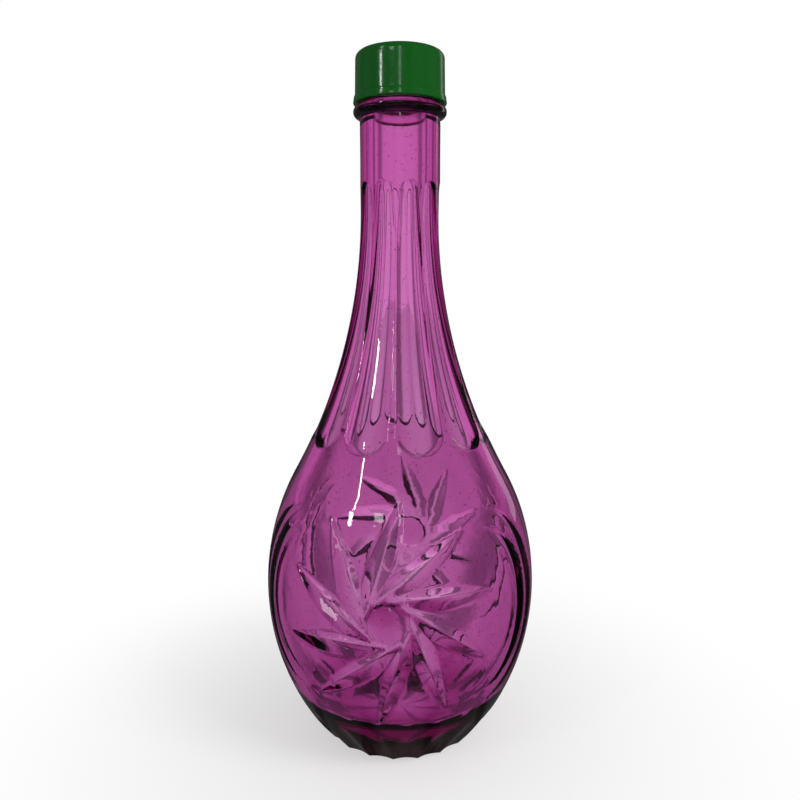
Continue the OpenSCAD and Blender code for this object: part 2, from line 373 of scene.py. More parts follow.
def seamHeight(turn, z):
    # the low ridge left where the two halves of the mould met, a quarter turn from each star
    around = (turn + math.pi / 2) % math.pi
    away = np.minimum(around, math.pi - around) * outerRadius(z)
    foot = smoothStep(skinLow, skinLow + bottle["seamFoot"], z)
    ends = foot * (1 - smoothStep(skinTop - bottle["seamTop"], skinTop, z))
    worn = np.minimum(bottle["seamHigh"], bottle["bodyR"] - outerRadius(z))  # rubbed flat at the widest
    return worn * ends * (1 - smoothStep(0, bottle["seamWide"], away))


def ripple(points, size, wave):
    # slow unevenness of pressed glass, the same on every run
    return size * np.array([noise.noise(Vector(p) / wave) for p in points])


class PointBin:
    # keeps points that are not too close to those already kept
    def __init__(self, cell):
        self.cell, self.bins, self.kept = cell, {}, []

    def add(self, turn, z, gap):
        radius = float(np.interp(z, mapZ, mapR))
        spot = (radius * math.sin(turn), -radius * math.cos(turn), z)
        key = tuple(int(c // self.cell) for c in spot)
        for dx, dy, dz in itertools.product((-1, 0, 1), repeat=3):
            for other in self.bins.get((key[0] + dx, key[1] + dy, key[2] + dz), ()):
                if math.dist(spot, other) < gap:
                    return
        self.bins.setdefault(key, []).append(spot)
        self.kept.append((turn, z))


def rayCutAt(away, turns, side):
    # depth of one ray's sharp V at a ring of places round the button
    off, along = away * np.cos(turns - side) - star["ring"], away * np.sin(side - turns)
    spine = star["depth"] * (1 - ((along - arcMiddle) / arcHalf) ** 2)
    return spine - abs(off) * (1 / math.tan(math.radians(star["slope"])))


def starPoint(away, turn):
    # turn and height on the skin of a place that is given round the star's middle
    z = star["z"] + away * math.sin(turn)
    return away * math.cos(turn) / radiusAt(z), z


def rayLines():
    # spines, groove edges and the ridges between grooves
    main, minor = [], []
    for away in np.arange(star["ring"] + net["ends"][0], star["radius"], net["line"]):
        spineTurn = tipLean - math.acos(star["ring"] / away)
        turns = np.linspace(spineTurn, spineTurn + rayStep, net["lineTurns"])
        own, following = rayCutAt(away, turns, tipLean), rayCutAt(away, turns, tipLean + rayStep)
        first = turns[np.argmax(own <= np.maximum(following, 0))]
        last = turns[len(turns) - 1 - np.argmax((following <= np.maximum(own, 0))[::-1])]
        if last < first:
            first = last = (first + last) / 2
        for i in range(star["rays"]):
            base = math.radians(star["turn"] + i * 360 / star["rays"])
            main += [starPoint(away, base + turn) for turn in (spineTurn, first, last)]
            for shift in (-net["bevel"] / away, net["bevel"] / away):
                minor += [starPoint(away, base + turn + shift) for turn in (spineTurn, first, last)]
    hubRings = np.linspace(star["hub"] - star["hubIn"], star["hub"] + star["hubOut"], 3)
    for around in np.arange(0, 2 * math.pi, net["line"] / star["hub"]):
        main += [starPoint(away, around) for away in hubRings]
    return main, minor


def leafLines():
    # spines and edges of the leaf cuts
    main, minor = [], []
    beside = ((0, main), (-net["bevel"], minor), (net["bevel"], minor))
    for nth, side in everyLeaf:
        _, _, reach = leafSpine(nth, side)
        heights = np.arange(star["z"] - reach + net["ends"][1], star["z"] + reach, net["line"])
        spine, lean = leafProfile(heights, nth, side)
        turn, radius = leafTurn(heights, nth, side), outerRadius(heights)
        width = spine * math.tan(math.radians(leaves["slope"]))
        for share, (extra, kind) in itertools.product((0, -1, 1), beside):
            kind.extend(zip(turn + (share * width + extra) / (radius * lean), heights))
    return main, minor


def fluteLines():
    # the outline of each flute, and the foot of its little wall
    main, minor = [], []
    wall, sides, half = flutes["wallWidth"], np.linspace(0, 1, net["fluteSide"]), flutes["count"] // 4 + 1
    for inset, kind in ((0, main), (wall, main), (-net["fluteOut"], minor), (wall / 2, minor)):
        low, top = fluteLowW - inset, fluteTopW - inset
        outline = [(low * math.sin(a), fluteLowC - low * math.cos(a))
                   for a in np.arange(0, math.pi / 2, net["fluteFoot"] / low)]
        outline += [(low + (top - low) * s, fluteLowC + (fluteTopC - fluteLowC) * s) for s in sides]
        outline += [(top * math.cos(a), fluteTopC + top * math.sin(a))
                    for a in np.arange(0, math.pi / 2, net["fluteTop"] / top)]
        outline.append((0, fluteTopC + top))
        for x, z in outline:
            radius = radiusAt(z)
            hollow = float(fluteHollow(np.array(min(max(z, flutes["lowZ"]), fluteTop))))
            crease = math.sqrt(hollow / closeRate(radius, flutes["curve"]))
            local = math.asin(min(x, crease - inset) / radius)
            for i in range(-half, half):
                middle = (2 * i + 1) * fluteHalf
                kind += [(middle + local, z), (middle - local, z)]
    return main, minor


def scallopLines():
    # the creases between the scallops
    main = []
    step, half = 2 * math.pi / scallops["count"], scallops["count"] // 4 + 1
    for z in np.arange(skinLow, scallops["topZ"], net["line"]):
        radius, hollow = radiusAt(z), float(scallopHollow(np.array(z)))
        local = min(math.sqrt(hollow / closeRate(radius, scallops["curve"])) / radius, step / 2)
        for i in range(-half, half):
            main += [((i + 0.5) * step + local, z), ((i + 0.5) * step - local, z)]
    return main


def inHalf(turn, z):
    return abs(turn) < math.pi / 2 - net["sideGap"] and skinLow < z < skinTop


def skinPoints():
    # one half of the skin, from a quarter turn left of the star to a quarter turn right
    quarter = math.pi / 2
    bins = PointBin(net["cell"])
    seam, z = [], skinLow
    while z < skinTop:
        seam.append(z)
        z += net["fill"] * net["seamRow"] / math.hypot(1, float(np.interp(z, mapZ, mapSlope)))
    seam = seam[:-1] if skinTop - seam[-1] < net["seamLeast"] else seam
    for i in range(net["columns"] // 2 + 1):
        for z in (skinLow, skinTop):
            bins.add(i * 2 * math.pi / net["columns"] - quarter, z, 0)
    for z, share in itertools.product(seam[1:], net["seamShares"]):
        step = bottle["seamWide"] * share / float(np.interp(z, mapZ, mapR))
        bins.add(step - quarter, z, 0)
        bins.add(quarter - step, z, 0)
    rayMain, rayMinor = rayLines()
    leafMain, leafMinor = leafLines()
    fluteMain, fluteMinor = fluteLines()
    for turn, z in rayMain + fluteMain + leafMain + scallopLines() + rayMinor + fluteMinor + leafMinor:
        if inHalf(turn, z):
            bins.add(turn, z, net["bevel"] * net["lineGap"])
    rise, odd = 0.0, 0
    while rise < mapRise[-1]:  # the rest is filled with rows of a triangle pattern
        z = float(np.interp(rise, mapRise, mapZ))
        radius = float(np.interp(z, mapZ, mapR))
        count = round(math.pi * radius / net["fill"])
        for i in range(count):
            turn = (i + 0.25 + 0.5 * odd) / count * math.pi - quarter
            if inHalf(turn, z):
                bins.add(turn, z, net["fill"] * net["fillGap"])
        rise += net["fill"] * net["fillRow"] / radius
        odd = 1 - odd
    return bins.kept


def skinHalf():
    # turns, heights and faces of one half of the skin
    onMap = [Vector((turn, float(np.interp(z, mapZ, mapRise)))) for turn, z in skinPoints()]
    flat = geometry.delaunay_2d_cdt(onMap, [], [], 0, 1e-7)
    verts = np.array([tuple(v) for v in flat[0]])
    return verts[:, 0], np.interp(verts[:, 1], mapRise, mapZ), np.array([tuple(f) for f in flat[2]])


def skinPlaces(turn, z, around=0.0):
    # the cuts go in along the glass's own direction, flutes and scallops go in level
    # around turns the finished half round the axis, so the back star is the same as the front one
    radius = outerRadius(z)
    slope = np.interp(z, mapZ, mapSlope)
    lean = 1 / np.hypot(1, slope)
    along = starDepth(turn, z) + leafDepth(turn, z) - seamHeight(turn, z)
    along = along + ripple(place(turn + around, radius, z), bottle["ripple"], bottle["rippleWave"])
    level = fluteDepth(turn, z) + scallopDepth(turn, z)
    return place(turn + around, radius - level - along * lean, z + along * slope * lean)


def latheRows():
    # the rest of the closed outline: under the base, and over the lip into the mouth
    kickR, kickH, heelR = bottle["kickR"], bottle["kickH"], radiusAt(skinLow)
    kickCurve = (kickR ** 2 + kickH ** 2) / (2 * kickH)
    kick = [(r, kickH - kickCurve + math.sqrt(kickCurve ** 2 - r * r))
            for r in np.linspace(0, kickR - 1, net["kickRows"])]
    foot = [(heelR - inward, up) for inward, up in bottle["heelFoot"]]
    under = kick + roundCorners([kick[-1], (kickR, 0), foot[0]], [bottle["kickRound"]], 4)[1:] + foot[1:]
    bead, fillet, lip, rim = bottle["beadH"] / 2, bottle["beadFillet"], bottle["lipR"], bottle["boreRound"]
    finishR, beadTop, top = bottle["finishR"], bottle["beadTopZ"], bottle["height"]
    over = [(bottle["neckR"] + out, beadZ + up) for out, up in bottle["neckFillet"]]
    over += arcPoints((bottle["beadR"] - bead, beadZ + bead), bead, -80, 90, 14)
    over += [(finishR + 1.5 * fillet, beadTop)]
    over += arcPoints((finishR + fillet, beadTop + fillet), fillet, -90, -180, 4)
    over += spaced([(finishR, beadTop + 2 * fillet), (finishR, top - lip)], net["threadRow"])
    over += arcPoints((finishR - lip, top - lip), lip, 10, 90, 8)
    over += arcPoints((bottle["boreR"] + rim, top - rim), rim, 90, 180, 6)
    return under, over


def innerRows():
    # down the bore and the belly, then in along the bowl-shaped floor
    curve, centreZ, ends = bottle["floorCurve"], bottle["baseThick"] + bottle["floorCurve"], net["innerEnds"]
    heights = np.arange(bottle["height"] - ends, bottle["baseThick"] + ends, -net["innerRow"])
    walls = [(float(innerRadius(np.array(z))), z) for z in heights]
    kept = [(r, z) for r, z in walls if z > centreZ or math.hypot(r, z - centreZ) < curve]
    lastR, lastZ = kept[-1]
    meet = math.degrees(math.atan2(lastZ - centreZ, lastR))
    return kept + arcPoints((0, centreZ), curve, meet - net["floorStep"], -90, net["floorRows"])


def threadHeight(turn, z):
    # how far the screw thread stands out of the finish
    total = np.zeros(np.shape(turn))
    for n in range(math.ceil(thread["turns"])):
        angle = np.degrees(turn % (2 * math.pi)) + 360 * n
        middle = thread["startZ"] + thread["pitch"] * angle / 360
        end = thread["turns"] * 360
        fade = smoothStep(0, thread["fade"], angle) * smoothStep(0, thread["fade"], end - angle)
        side = 1 - smoothStep(thread["flat"], 1, abs(z - middle) / thread["halfWidth"])
        total = np.maximum(total, thread["high"] * fade * side)
    return total


def buildGlassShell():
    columns = net["columns"]
    turns, level = np.arange(columns) * 2 * math.pi / columns - math.pi / 2, np.ones(columns)
    halfTurn, halfZ, halfFaces = skinHalf()
    under, over = latheRows()
    lower, upper = [], [skinPlaces(turns, skinTop * level)]
    for r, z in under[1:]:
        heel = smoothStep(*scallops["underR"], r) * scallopDepth(turns, scallops["footZ"] * level)
        lower.append(place(turns, r - heel, z * level))
    lower.append(skinPlaces(turns, skinLow * level))
    for r, z in over:
        stand = threadHeight(turns, z * level) if r == bottle["finishR"] else 0
        upper.append(place(turns, r + stand, z * level))
    for r, z in innerRows()[:-1]:
        ring = place(turns, r * level, z * level)
        calm = float(smoothStep(*bottle["innerZ"], z) * smoothStep(*bottle["innerR"], r))
        push = ripple(ring, bottle["innerRipple"] * calm, bottle["innerWave"])
        upper.append(ring + place(turns, push, 0 * level))
    poles = np.array([[0, 0, bottle["kickH"]], [0, 0, bottle["baseThick"]]])
    verts = [skinPlaces(halfTurn, halfZ), skinPlaces(halfTurn, halfZ, math.pi)] + lower + upper + [poles]
    faces = [tuple(f) for f in halfFaces] + [tuple(f + len(halfTurn)) for f in halfFaces]
    low = 2 * len(halfTurn)
    high = low + len(lower) * columns
    end = high + len(upper) * columns
    beside = [(i, (i + 1) % columns) for i in range(columns)]
    for first, last in ((low, high), (high, end)):
        for row in range(first, last - columns, columns):
            faces += [(row + i, row + j, row + columns + j, row + columns + i) for i, j in beside]
    for i, j in beside:
        faces += [(end, low + j, low + i), (end - columns + i, end - columns + j, end + 1)]
    mesh = bpy.data.meshes.new("glassBottle")
    mesh.from_pydata((np.concatenate(verts) * mm).tolist(), [], faces)
    shell = bmesh.new()
    shell.from_mesh(mesh)
    bmesh.ops.remove_doubles(shell, verts=shell.verts, dist=net["merge"] * mm)
    gaps = [e for e in shell.edges if not e.is_manifold]
    print("glass skin:", len(shell.verts), "points,", len(shell.faces), "faces,", len(gaps), "open edges")
    shell.to_mesh(mesh)
    shell.free()
    mesh.shade_smooth()
    return mesh


glassFinish = {
    "colour": linearColour("#E175D2"), "density": 270.0,  # density is per metre of glass
    "speck": linearColour("#2E0F26"), "speckStep": 1.3, "speckFrom": 0.4, "speckReach": 0.17,
    "haze": 22.22, "wave": 6.25, "peel": 1.6,  # the sizes of the three patterns
    "hazeRough": 0.035, "waveDeep": 0.1, "peelDeep": 0.03,
}


def makeGlass():
    # pressed soda-lime glass, coloured purple in the melt and fire-polished: clear, slightly rippled,
    # darker where it is thick
    material, tree, where = newMaterial("purpleSodaLimeGlass")
    haze, wave, peel = (addNode(tree, "ShaderNodeTexNoise", {
        "Vector": where, "Scale": 1 / (glassFinish[size] * mm), "Detail": detail})["Fac"]
        for size, detail in (("haze", 4.0), ("wave", 2.0), ("peel", 2.0)))
    rough = addNode(tree, "ShaderNodeMapRange", {
        "Value": haze, "From Min": 0.45, "From Max": 0.8,
        "To Max": glassFinish["hazeRough"]})["Result"]
    fine = addNode(tree, "ShaderNodeBump", {
        "Height": peel, "Strength": 0.25, "Distance": glassFinish["peelDeep"] * mm})["Normal"]
    normal = addNode(tree, "ShaderNodeBump", {
        "Height": wave, "Strength": 0.3, "Distance": glassFinish["waveDeep"] * mm,
        "Normal": fine})["Normal"]
    # specks of mould scale and dust caught in the skin
    cells = addNode(tree, "ShaderNodeTexVoronoi", {
        "Vector": where, "Scale": 1 / (glassFinish["speckStep"] * mm)})
    chance = addNode(tree, "ShaderNodeSeparateColor", [cells["Color"]])[0]
    reach = addNode(tree, "ShaderNodeMapRange", {
        "Value": chance, "From Min": glassFinish["speckFrom"],
        "To Max": glassFinish["speckReach"]})["Result"]
    speck = addNode(tree, "ShaderNodeMath", [cells["Distance"], reach], operation="LESS_THAN")[0]
    skin = addNode(tree, "ShaderNodeMix", {
        0: speck, 6: (1, 1, 1, 1), 7: glassFinish["speck"]}, data_type="RGBA")[2]
    shader = addNode(tree, "ShaderNodeBsdfPrincipled", {
        "Base Color": skin, "Roughness": rough, "IOR": 1.52, "Transmission Weight": 1.0, "Normal": normal})
    volume = addNode(tree, "ShaderNodeVolumeAbsorption", {
        "Color": glassFinish["colour"], "Density": glassFinish["density"]})
    addNode(tree, "ShaderNodeOutputMaterial", {"Surface": shader["BSDF"], "Volume": volume["Volume"]})
    return material


seeds = {  # the small bubbles left in pressed glass; outward tells the outer skin from the inner
    "perSquareMetre": 1700.0, "low": 18, "high": 205, "smallest": 0.1, "largest": 0.36, "stretch": 1.7,
    "shallow": 0.7, "deep": 1.9, "outward": 8,
}


def seedTree():
    # small hollow bubbles just under the outer skin, as turned-in shells joined to the glass
    tree, given = newTree("seedsInGlass", {
        "Seeds per m2": "Float", "Low": "Float", "High": "Float", "Smallest": "Float", "Largest": "Float",
        "Stretch": "Float", "Shallow": "Float", "Deep": "Float", "Outward": "Float", "Material": "Material"})
    position = addNode(tree, "GeometryNodeInputPosition")[0]
    normal = addNode(tree, "GeometryNodeInputNormal")[0]
    height = addNode(tree, "ShaderNodeSeparateXYZ", [position])["Z"]
    outward = addNode(tree, "ShaderNodeVectorMath", [position, normal], operation="DOT_PRODUCT")[1]
    chosen = 1.0
    for operation, value, limit in (("GREATER_THAN", outward, "Outward"), ("GREATER_THAN", height, "Low"),
                                    ("LESS_THAN", height, "High")):
        test = addNode(tree, "ShaderNodeMath", [value, given[limit]], operation=operation)[0]
        chosen = addNode(tree, "ShaderNodeMath", [chosen, test], operation="MULTIPLY")[0]
    spots = addNode(tree, "GeometryNodeDistributePointsOnFaces", {
        "Mesh": given["Geometry"], "Selection": chosen, "Density": given["Seeds per m2"], "Seed": 11},
        distribute_method="RANDOM")
    depth, share, stretch = (addNode(tree, "FunctionNodeRandomValue", {
        2: least, 3: most, "Seed": seed}, data_type="FLOAT")[1]
        for least, most, seed in ((given["Shallow"], given["Deep"], 3), (0.0, 1.0, 5),
                                  (1.0, given["Stretch"], 7)))
    inward = addNode(tree, "ShaderNodeMath", [depth, -1.0], operation="MULTIPLY")[0]
    offset = addNode(tree, "ShaderNodeVectorMath", {
        0: spots["Normal"], "Scale": inward}, operation="SCALE")[0]
    sunk = addNode(tree, "GeometryNodeSetPosition", {
        "Geometry": spots["Points"], "Offset": offset})["Geometry"]
    small = addNode(tree, "ShaderNodeMath", [share, 3.0], operation="POWER")[0]  # most are small
    size = addNode(tree, "ShaderNodeMapRange", {
        "Value": small, "To Min": given["Smallest"], "To Max": given["Largest"]})["Result"]
    tall = addNode(tree, "ShaderNodeMath", [size, stretch], operation="MULTIPLY")[0]
    scale = addNode(tree, "ShaderNodeCombineXYZ", [size, size, tall])[0]
    ball = addNode(tree, "GeometryNodeMeshIcoSphere", {"Radius": 1.0, "Subdivisions": 2})["Mesh"]
    hollow = addNode(tree, "GeometryNodeFlipFaces", [ball])["Mesh"]
    bubbles = addNode(tree, "GeometryNodeInstanceOnPoints", {
        "Points": sunk, "Instance": hollow, "Scale": scale})["Instances"]
    whole = addNode(tree, "GeometryNodeRealizeInstances", [bubbles])["Geometry"]
    joined = addNode(tree, "GeometryNodeJoinGeometry", {"Geometry": [whole, given["Geometry"]]})[0]
    finishTree(tree, joined, given["Material"])
    return tree


print("glass: shaping the skin")
glassMaterial = makeGlass()
glassMesh = buildGlassShell()
print("glass: scattering the seeds in the wall")
glassBottle = runTree("glassBottle", glassMesh, seedTree(), {
    "Seeds per m2": seeds["perSquareMetre"], "Low": seeds["low"] * mm, "High": seeds["high"] * mm,
    "Smallest": seeds["smallest"] * mm, "Largest": seeds["largest"] * mm, "Stretch": seeds["stretch"],
    "Shallow": seeds["shallow"] * mm, "Deep": seeds["deep"] * mm, "Outward": seeds["outward"] * mm,
    "Material": glassMaterial})
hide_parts("glass_bottle")
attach(glassBottle, "bottle")


cap = {
    "footZ": capLow[2], "topZ": capHigh[2], "bandR": capHigh[0], "topR": 15.5, "footR": 15.75, "bandH": 2.4,
    "step": 0.36, "edge": 2.2, "bandEdge": 0.45, "boreR": 14, "boreEdge": 0.5, "footEdge": 0.3,
    "bandTopEdge": 0.12, "stepEdge": 0.2, "underZ": linerHigh[2], "gateR": 1.3, "gateSlope": 0.5,
    "gateDeep": 0.25, "gateEdge": (0.2, 0.15), "columns": 160, "rowGap": 1.4,
    "ridge": 0.95, "turns": 2.0, "ridgeFade": 0.06, "ridgeTip": 0.05,  # shares of its length and thickness
    "below": 0.5,  # in pitches, from the glass's own thread
}


weld = 0.002  # turned points closer than this become one


def turnedTree():
    # turns a line of [radius, height] points into a closed shape about the axis
    tree, given = newTree("turnedProfile", {"Columns": "Int", "Material": "Material"})
    line = given["Geometry"]
    rows = addNode(tree, "GeometryNodeAttributeDomainSize", [line], component="MESH")["Point Count"]
    across = addNode(tree, "ShaderNodeMath", [given["Columns"], 1.0], operation="ADD")[0]
    grid = addNode(tree, "GeometryNodeMeshGrid", {"Vertices X": across, "Vertices Y": rows})["Mesh"]
    index = addNode(tree, "GeometryNodeInputIndex")[0]
    row = addNode(tree, "ShaderNodeMath", [index, rows], operation="MODULO")[0]
    turn = index
    for operation, values in (("DIVIDE", [rows]), ("FLOOR", []), ("DIVIDE", [given["Columns"]]),
                              ("MULTIPLY", [2 * math.pi])):
        turn = addNode(tree, "ShaderNodeMath", [turn, *values], operation=operation)[0]
    position = addNode(tree, "GeometryNodeInputPosition")[0]
    point = addNode(tree, "GeometryNodeSampleIndex", {"Geometry": line, "Value": position, "Index": row},
                    data_type="FLOAT_VECTOR", domain="POINT")[0]
    part = addNode(tree, "ShaderNodeSeparateXYZ", [point])
    back = addNode(tree, "ShaderNodeMath", [part["X"], -1.0], operation="MULTIPLY")[0]
    spot = []
    for reach, operation in ((part["X"], "SINE"), (back, "COSINE")):
        share = addNode(tree, "ShaderNodeMath", [turn], operation=operation)[0]
        spot.append(addNode(tree, "ShaderNodeMath", [reach, share], operation="MULTIPLY")[0])
    spun = addNode(tree, "ShaderNodeCombineXYZ", [*spot, part["Z"]])[0]
    moved = addNode(tree, "GeometryNodeSetPosition", {"Geometry": grid, "Position": spun})[0]
    closed = addNode(tree, "GeometryNodeMergeByDistance", {"Geometry": moved, "Distance": weld * mm})[0]
    finishTree(tree, closed, given["Material"])
    return tree


def capThreadTree():
    # adds a round thread ridge inside the skirt, thinning out at both ends
    tree, given = newTree("capThread", {
        "Turns": "Float", "Radius": "Float", "Pitch": "Float", "Start": "Float", "Ridge": "Float",
        "Fade": "Float", "Tip": "Float", "Material": "Material"})
    climb = addNode(tree, "ShaderNodeMath", [given["Turns"], given["Pitch"]], operation="MULTIPLY")[0]
    spiral = addNode(tree, "GeometryNodeCurveSpiral", {
        "Resolution": 72, "Rotations": given["Turns"], "Start Radius": given["Radius"],
        "End Radius": given["Radius"], "Height": climb})["Curve"]
    lift = addNode(tree, "ShaderNodeCombineXYZ", {"Z": given["Start"]})[0]
    lifted = addNode(tree, "GeometryNodeTransform", {
        "Geometry": spiral, "Translation": lift, "Rotation": (0, 0, -math.pi / 2)})["Geometry"]
    along = addNode(tree, "GeometryNodeSplineParameter")["Factor"]
    left = addNode(tree, "ShaderNodeMath", [1.0, along], operation="SUBTRACT")[0]
    ends = addNode(tree, "ShaderNodeMath", [along, left], operation="MINIMUM")[0]
    full = addNode(tree, "ShaderNodeMapRange", {
        "Value": ends, "From Max": given["Fade"], "To Min": given["Tip"]},
        interpolation_type="SMOOTHSTEP")["Result"]
    profile = addNode(tree, "GeometryNodeCurvePrimitiveCircle", {"Resolution": 12, "Radius": given["Ridge"]})
    sweep = addNode(tree, "GeometryNodeCurveToMesh", {
        "Curve": lifted, "Profile Curve": profile["Curve"], "Fill Caps": True,
        "Scale": full})["Mesh"]
    joined = addNode(tree, "GeometryNodeJoinGeometry", {"Geometry": [sweep, given["Geometry"]]})[0]
    finishTree(tree, joined, given["Material"])
    return tree


def capProfile():
    # inside of the top, down the bore, round the foot, up the band and the skirt, over the top
    foot, top, under, gateZ = cap["footZ"], cap["topZ"], cap["underZ"], cap["topZ"] - cap["gateDeep"]
    bandTop, gateEdge = foot + cap["bandH"], cap["gateR"] + cap["gateSlope"]
    corners = [(0, under), (cap["boreR"], under), (cap["boreR"], foot), (cap["bandR"], foot),
               (cap["footR"] + cap["step"], bandTop), (cap["footR"], bandTop + cap["step"]),
               (cap["topR"], top), (gateEdge, top), (cap["gateR"], gateZ), (0, gateZ)]
    radii = [cap[name] for name in ("boreEdge", "footEdge", "bandEdge", "bandTopEdge", "stepEdge", "edge")]
    radii += cap["gateEdge"]
    return spaced(roundCorners(corners, radii, 7), cap["rowGap"])


capFinish = {
    "colour": linearColour("#0A4A12"), "pale": linearColour("#12581B"), "roughness": 0.1,
    "flow": 7.143, "wave": 4.545, "scuff": 1.111,  # the sizes of the three patterns
    "flowStretch": 4, "waveDeep": 0.05, "scuffRough": 0.12,
}


def makePlastic():
    # injection-moulded polypropylene: deep green, glossy from the polished mould, with faint flow marks
    # that run up the skirt and fine handling scuffs
    material, tree, where = newMaterial("greenPolypropylene")
    flow = addNode(tree, "ShaderNodeMapping", {
        "Vector": where, "Scale": (1.0, 1.0, 1 / capFinish["flowStretch"])})[0]
    cloud, wave, scuff = (addNode(tree, "ShaderNodeTexNoise", {
        "Vector": vector, "Scale": 1 / (capFinish[size] * mm), "Detail": detail})["Fac"]
        for vector, size, detail in ((flow, "flow", 3.0), (flow, "wave", 1.0), (where, "scuff", 5.0)))
    tone = addNode(tree, "ShaderNodeMix", {
        0: cloud, 6: capFinish["colour"], 7: capFinish["pale"]}, data_type="RGBA")[2]
    rough = addNode(tree, "ShaderNodeMapRange", {
        "Value": scuff, "From Min": 0.4, "From Max": 0.75, "To Min": capFinish["roughness"],
        "To Max": capFinish["roughness"] + capFinish["scuffRough"]})["Result"]
    normal = addNode(tree, "ShaderNodeBump", {
        "Height": wave, "Strength": 0.25, "Distance": capFinish["waveDeep"] * mm})["Normal"]
    shader = addNode(tree, "ShaderNodeBsdfPrincipled", {
        "Base Color": tone, "Roughness": rough, "IOR": 1.49, "Normal": normal})
    addNode(tree, "ShaderNodeOutputMaterial", {"Surface": shader["BSDF"]})
    return material


print("cap: turning the shell and winding its thread")
capMaterial = makePlastic()
turned = turnedTree()
capShell = runTree("capShell", profileMesh("capProfile", capProfile()), turned, {
    "Columns": cap["columns"], "Material": capMaterial})
screwCap = runTree("screwCap", capShell.data, capThreadTree(), {
    "Turns": cap["turns"], "Radius": cap["boreR"] * mm, "Pitch": thread["pitch"] * mm,
    "Start": (thread["startZ"] - cap["below"] * thread["pitch"]) * mm, "Ridge": cap["ridge"] * mm,
    "Fade": cap["ridgeFade"], "Tip": cap["ridgeTip"], "Material": capMaterial})
bpy.data.objects.remove(capShell)
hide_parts("screw_cap")
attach(screwCap, "cap")


liner = {"radius": linerHigh[0], "low": linerLow[2], "high": linerHigh[2], "edge": 0.25, "columns": 96,
         "rowGap": 1.2}
linerFinish = {"colour": linearColour("#F1EEE4"), "wall": linearColour("#D9D4C6"), "cell": 0.3,
               "cellDeep": 0.05, "roughness": 0.7}


def linerProfile():
    r, low, high = liner["radius"], liner["low"], liner["high"]
    corners = [(0, low), (r, low), (r, high), (0, high)]
    return spaced(roundCorners(corners, [liner["edge"]] * 2, 5), liner["rowGap"])


def makeFoam():
    # expanded polyethylene sheet, die-cut: milky white, matt, with closed cells
    material, tree, where = newMaterial("whitePolyethyleneFoam")
    cells = addNode(tree, "ShaderNodeTexVoronoi", {
        "Vector": where, "Scale": 1 / (linerFinish["cell"] * mm)})["Distance"]
    tone = addNode(tree, "ShaderNodeMix", {
        0: cells, 6: linerFinish["colour"], 7: linerFinish["wall"]}, data_type="RGBA")[2]
    normal = addNode(tree, "ShaderNodeBump", {
        "Height": cells, "Strength": 0.4, "Distance": linerFinish["cellDeep"] * mm})["Normal"]
    shader = addNode(tree, "ShaderNodeBsdfPrincipled", {
        "Base Color": tone, "Roughness": linerFinish["roughness"], "Normal": normal})
    addNode(tree, "ShaderNodeOutputMaterial", {"Surface": shader["BSDF"]})
    return material


print("liner: turning the disc")
capLiner = runTree("capLiner", profileMesh("linerProfile", linerProfile()), turned, {
    "Columns": liner["columns"], "Material": makeFoam()})
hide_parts("cap_liner")
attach(capLiner, "liner")


view = {"distance": 275, "height": 169.08, "turn": 5, "down": 8.79, "lens": 33.75, "sensor": 36,
        "near": 0.01, "far": 50}  # near and far are in metres


def makeCamera():
    data = bpy.data.cameras.new("camera")
    data.lens, data.sensor_width = view["lens"], view["sensor"]
    data.clip_start, data.clip_end = view["near"], view["far"]
    camera = bpy.data.objects.new("camera", data)
    turn = math.radians(view["turn"])
    camera.location = place(turn, view["distance"] * mm, view["height"] * mm)
    camera.rotation_euler = (math.radians(90 - view["down"]), 0, turn)
    bpy.context.scene.collection.objects.link(camera)
    bpy.context.scene.camera = camera


studio = {
    "panels": 8.0, "aim": 5, "gap": 0.4, "gapFrom": -0.45, "ceiling": 0.6, "ceilingFrom": 0.45,
    "ceilingTo": 0.75, "softLevel": 0.55, "mirrorLevel": 0.11, "throughLevel": 1.12, "floorPaintedPanels": 0.7,
    "nearPaintedGlow": 0.5, "paintedGlowUnderGlass": 0.9, "whitePaint": linearColour("#F4F4F4"),
    "nearFloor": 0.04, "farFloor": 0.18, "floorHalf": 6.0, "aimZ": 0.12,  # these are in metres
}


def panelLight(tree, direction):
    # tall white panels all round with soft grey gaps between them, one panel straight behind the bottle
    # laid on the floor, the same pattern is painted light: strips of light and grey gaps
    part = addNode(tree, "ShaderNodeSeparateXYZ", [direction])
    back = addNode(tree, "ShaderNodeMath", [part["Y"], -1.0], operation="MULTIPLY")[0]
    wave = part["X"]
    for operation, values in (("ARCTAN2", [back]), ("SUBTRACT", [math.radians(studio["aim"])]),
                              ("MULTIPLY", [studio["panels"]]), ("COSINE", [])):
        wave = addNode(tree, "ShaderNodeMath", [wave, *values], operation=operation)[0]
    return addNode(tree, "ShaderNodeMapRange", {
        "Value": wave, "From Min": -1.0, "From Max": studio["gapFrom"], "To Min": studio["gap"]},
        interpolation_type="SMOOTHSTEP")["Result"]


def pathStrength(tree, panels):
    # what the background shows: white to the camera, panels through the glass, dimmer panels in reflections
    # on the floor these panels are painted light and a painted reflection
    path = addNode(tree, "ShaderNodeLightPath")
    stopped = addNode(tree, "ShaderNodeMath", [1.0, path["Is Transmission Ray"]], operation="SUBTRACT")[0]
    through, mirrored, reflected = (
        addNode(tree, "ShaderNodeMath", [value, share], operation="MULTIPLY")[0]
        for value, share in ((panels, studio["throughLevel"]), (panels, studio["mirrorLevel"]),
                             (path["Is Glossy Ray"], stopped)))
    unseen = addNode(tree, "ShaderNodeMix", {0: reflected, 2: through, 3: mirrored}, data_type="FLOAT")
    strength = addNode(tree, "ShaderNodeMix", {
        0: path["Is Camera Ray"], 2: unseen[0], 3: 1.0}, data_type="FLOAT")[0]
    return strength, path, reflected


